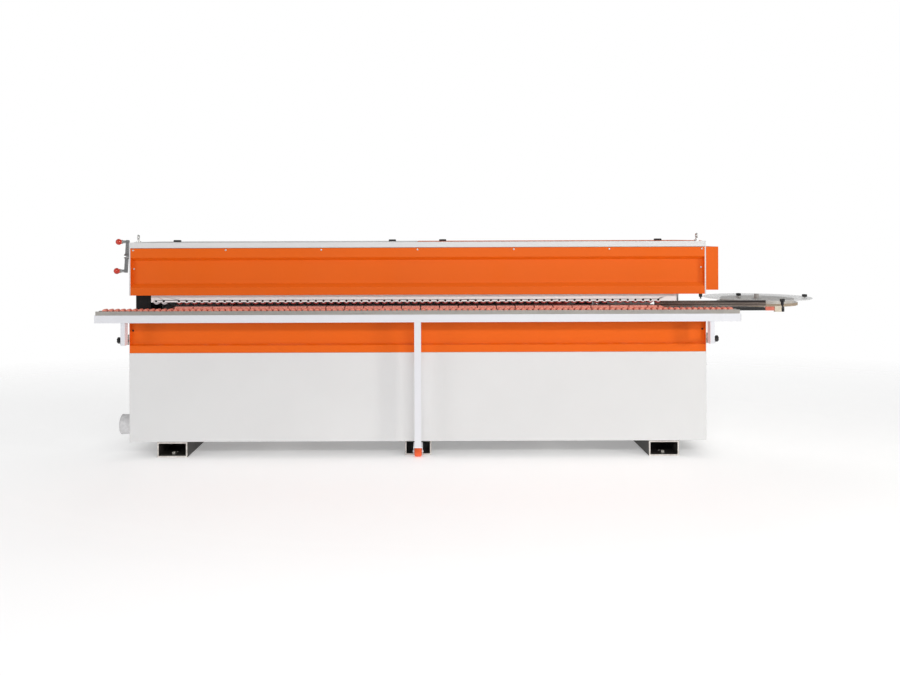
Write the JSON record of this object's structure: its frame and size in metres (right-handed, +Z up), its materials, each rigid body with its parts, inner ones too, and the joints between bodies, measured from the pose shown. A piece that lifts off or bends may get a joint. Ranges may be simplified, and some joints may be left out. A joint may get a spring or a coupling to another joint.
{
  "type": "edge banding machine",
  "caption": "Through-feed edge banding machine: orange hood over a chain conveyor, white base, roller outrigger along the front and a tape magazine at the infeed end.",
  "frame": {"origin": "middle of the overall rectangle on the floor, at floor level", "axes": "+X along the machine towards the infeed end with the tape magazine, +Y from the operator's side to the back, +Z up"},
  "size_m": [4.528, 0.952, 1.3605],
  "materials": {
    "orange_paint": "smooth semi-gloss orange powder coat",
    "white_paint": "smooth semi-gloss white powder coat",
    "rail_white": "glossy white paint",
    "frame_grey": "matt grey paint",
    "black_paint": "satin black paint",
    "foot_paint": "satin grey-white paint",
    "steel": "machined steel",
    "brushed": "brushed stainless steel",
    "aluminium": "extruded aluminium, mill finish",
    "bright_bar": "hard chromed bar",
    "zinc": "zinc plated",
    "pad_rubber": "ribbed red-grey rubber pads",
    "wheel_rubber": "dark red rubber on black hubs",
    "roller_plastic": "salmon plastic rollers",
    "black_plastic": "black moulded plastic",
    "red_plastic": "glossy orange-red plastic",
    "caster_plastic": "orange polyurethane wheel",
    "grey_plastic": "light grey plastic",
    "clear_plastic": "clear acrylic",
    "white_plastic": "white laminate disc",
    "tape": "wound wood-coloured edge tape",
    "motor_grey": "painted grey castings"
  },
  "bodies": {
    "machine": {"base_frame": "frame_grey", "bed_plate": "steel", "feet": "foot_paint", "levelling_screws": "zinc", "front_panels": "white_paint", "lower_apron": "orange_paint", "left_side_panel": "white_paint", "right_side_panel": "white_paint", "rear_panel": "white_paint", "dust_spigot": "grey_plastic", "electrical_box": "frame_grey", "conveyor_beam": "frame_grey", "conveyor_chain": "pad_rubber", "drive_gearmotor": "motor_grey", "hood_front": "orange_paint", "hood_rails": "white_paint", "hood_left_cheek": "white_paint", "hood_right_cheek": "white_paint", "hood_rear": "white_paint", "hinge_pins": "zinc", "panel_screws": "zinc", "lifting_eyes": "zinc", "lift_supports": "black_paint", "guide_blocks": "aluminium", "magazine_stand": "black_paint", "infeed_fence": "brushed", "glue_unit": "motor_grey", "trimming_unit": "motor_grey", "buffing_unit": "motor_grey", "control_box": "orange_paint"},
    "outrigger": {"outrigger_rail": "rail_white", "roller_track": "aluminium", "track_rollers": "roller_plastic", "guide_bars": "bright_bar"},
    "caster_wheel": {"caster_wheel": "caster_plastic"},
    "left_clamp": {"left_clamp_knob": "black_plastic"},
    "right_clamp": {"right_clamp_knob": "black_plastic"},
    "pressure_beam": {"pressure_beam": "rail_white", "pressure_wheels": "wheel_rubber"},
    "height_crank": {"crank_shaft": "steel", "crank_grips": "red_plastic"},
    "left_lift_screw": {"left_lift_screw": "steel"},
    "right_lift_screw": {"right_lift_screw": "steel"},
    "left_lid": {"left_lid": "white_paint", "left_lid_handles": "black_plastic"},
    "right_lid": {"right_lid": "orange_paint", "right_lid_handles": "black_plastic"},
    "drive_sprocket": {"drive_sprocket": "steel"},
    "idler_sprocket": {"idler_sprocket": "steel"},
    "tape_magazine": {"magazine_lower_disc": "white_plastic", "magazine_upper_disc": "clear_plastic", "tape_coil": "tape", "magazine_knobs": "black_plastic"},
    "rear_door_left": {"rear_door_left": "orange_paint"},
    "rear_door_right": {"rear_door_right": "orange_paint"},
    "emergency_stop": {"emergency_stop": "red_plastic"},
    "glue_roller": {"glue_roller": "steel"},
    "press_roller": {"press_roller": "wheel_rubber"},
    "trim_cutters": {"trim_cutters": "steel"},
    "buffing_wheels": {"buffing_wheels": "grey_plastic"}
  },
  "joints": [
    {"name": "outrigger_slide", "type": "slide", "parent": "machine", "child": "outrigger", "axis": [0, -1, 0], "range_m": [0, 0.45]},
    {"name": "caster_roll", "type": "hinge", "parent": "outrigger", "child": "caster_wheel", "pos_m": [-0.337, -0.356, 0.033], "axis": [1, 0, 0], "range_deg": [-5, 815]},
    {"name": "left_clamp_turn", "type": "hinge", "parent": "machine", "child": "left_clamp", "pos_m": [-2.147, -0.321, 0.711], "axis": [1, 0, 0], "range_deg": [0, 180]},
    {"name": "right_clamp_turn", "type": "hinge", "parent": "machine", "child": "right_clamp", "pos_m": [1.473, -0.321, 0.711], "axis": [1, 0, 0], "range_deg": [0, 180]},
    {"name": "beam_lift", "type": "slide", "parent": "machine", "child": "pressure_beam", "axis": [0, 0, 1], "range_m": [-0.008, 0.045]},
    {"name": "crank_turn", "type": "hinge", "parent": "machine", "child": "height_crank", "pos_m": [-2.131, -0.286, 1.226], "axis": [1, 0, 0], "range_deg": [-370, 2040]},
    {"name": "left_screw_turn", "type": "hinge", "parent": "machine", "child": "left_lift_screw", "pos_m": [-1.437, -0.286, 1.1], "axis": [0, 0, 1], "range_deg": [-370, 2040]},
    {"name": "right_screw_turn", "type": "hinge", "parent": "machine", "child": "right_lift_screw", "pos_m": [0.763, -0.286, 1.1], "axis": [0, 0, 1], "range_deg": [-370, 2040]},
    {"name": "left_lid_swing", "type": "hinge", "parent": "machine", "child": "left_lid", "pos_m": [-1.217, 0.2725, 1.306], "axis": [-1, 0, 0], "range_deg": [0, 80]},
    {"name": "right_lid_swing", "type": "hinge", "parent": "machine", "child": "right_lid", "pos_m": [0.543, 0.2725, 1.306], "axis": [-1, 0, 0], "range_deg": [0, 80]},
    {"name": "drive_turn", "type": "hinge", "parent": "machine", "child": "drive_sprocket", "pos_m": [-1.802, -0.279, 0.8], "axis": [0, 1, 0], "continuous": true},
    {"name": "idler_turn", "type": "hinge", "parent": "machine", "child": "idler_sprocket", "pos_m": [1.128, -0.279, 0.8], "axis": [0, 1, 0], "continuous": true},
    {"name": "magazine_turn", "type": "hinge", "parent": "machine", "child": "tape_magazine", "pos_m": [1.924, 0.136, 0.87], "axis": [0, 0, 1], "continuous": true},
    {"name": "left_door_swing", "type": "hinge", "parent": "machine", "child": "rear_door_left", "pos_m": [-1.496, 0.352, 0.39], "axis": [0, 0, 1], "range_deg": [0, 110]},
    {"name": "right_door_swing", "type": "hinge", "parent": "machine", "child": "rear_door_right", "pos_m": [0.354, 0.352, 0.39], "axis": [0, 0, 1], "range_deg": [0, 110]},
    {"name": "stop_press", "type": "slide", "parent": "machine", "child": "emergency_stop", "axis": [-1, 0, 0], "range_m": [0, 0.005], "stiffness_N_per_m": 400},
    {"name": "glue_roller_turn", "type": "hinge", "parent": "machine", "child": "glue_roller", "pos_m": [0.773, -0.202, 0.9], "axis": [0, 0, 1], "continuous": true},
    {"name": "press_roller_turn", "type": "hinge", "parent": "machine", "child": "press_roller", "pos_m": [0.543, -0.17, 0.9], "axis": [0, 0, 1], "continuous": true},
    {"name": "cutter_turn", "type": "hinge", "parent": "machine", "child": "trim_cutters", "pos_m": [-0.487, -0.195, 0.92], "axis": [0, 0, 1], "continuous": true},
    {"name": "buffing_turn", "type": "hinge", "parent": "machine", "child": "buffing_wheels", "pos_m": [-1.347, -0.18, 0.92], "axis": [0, 0, 1], "continuous": true}
  ],
  "couplings": [
    {"joint": "caster_roll", "follows": "outrigger_slide", "rad_per_m": 31.25},
    {"joint": "crank_turn", "follows": "beam_lift", "rad_per_m": 785.4},
    {"joint": "left_screw_turn", "follows": "beam_lift", "rad_per_m": 785.4},
    {"joint": "right_screw_turn", "follows": "beam_lift", "rad_per_m": 785.4},
    {"joint": "idler_turn", "follows": "drive_turn", "ratio": 1}
  ]
}
